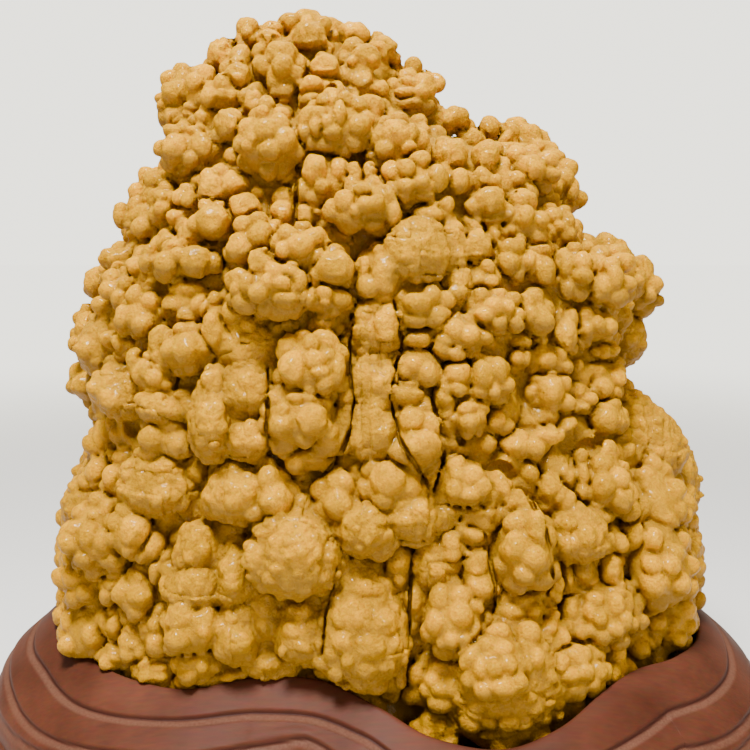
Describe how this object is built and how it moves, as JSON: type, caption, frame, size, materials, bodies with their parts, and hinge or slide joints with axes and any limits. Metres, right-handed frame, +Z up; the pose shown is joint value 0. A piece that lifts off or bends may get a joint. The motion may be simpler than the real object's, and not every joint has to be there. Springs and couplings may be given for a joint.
{
  "type": "stalactite specimen",
  "caption": "Mountain-shaped mass of honey-yellow botryoidal calcite, grown in rounded popcorn heads, resting in a carved wooden display stand.",
  "frame": {"origin": "on the stand's flat underside, below the middle of the stone", "axes": "+Z up, -Y towards the stone's show face, +X to the right of someone looking at that face"},
  "size_m": [0.7851, 0.5571, 0.7008],
  "materials": {
    "calcite": "honey-yellow calcite, sugary skin with a wet gloss, browner in the clefts",
    "carved_wood": "reddish-brown hardwood under satin varnish"
  },
  "bodies": {
    "root": {"stone": "calcite", "stand": "carved_wood"}
  },
  "joints": []
}
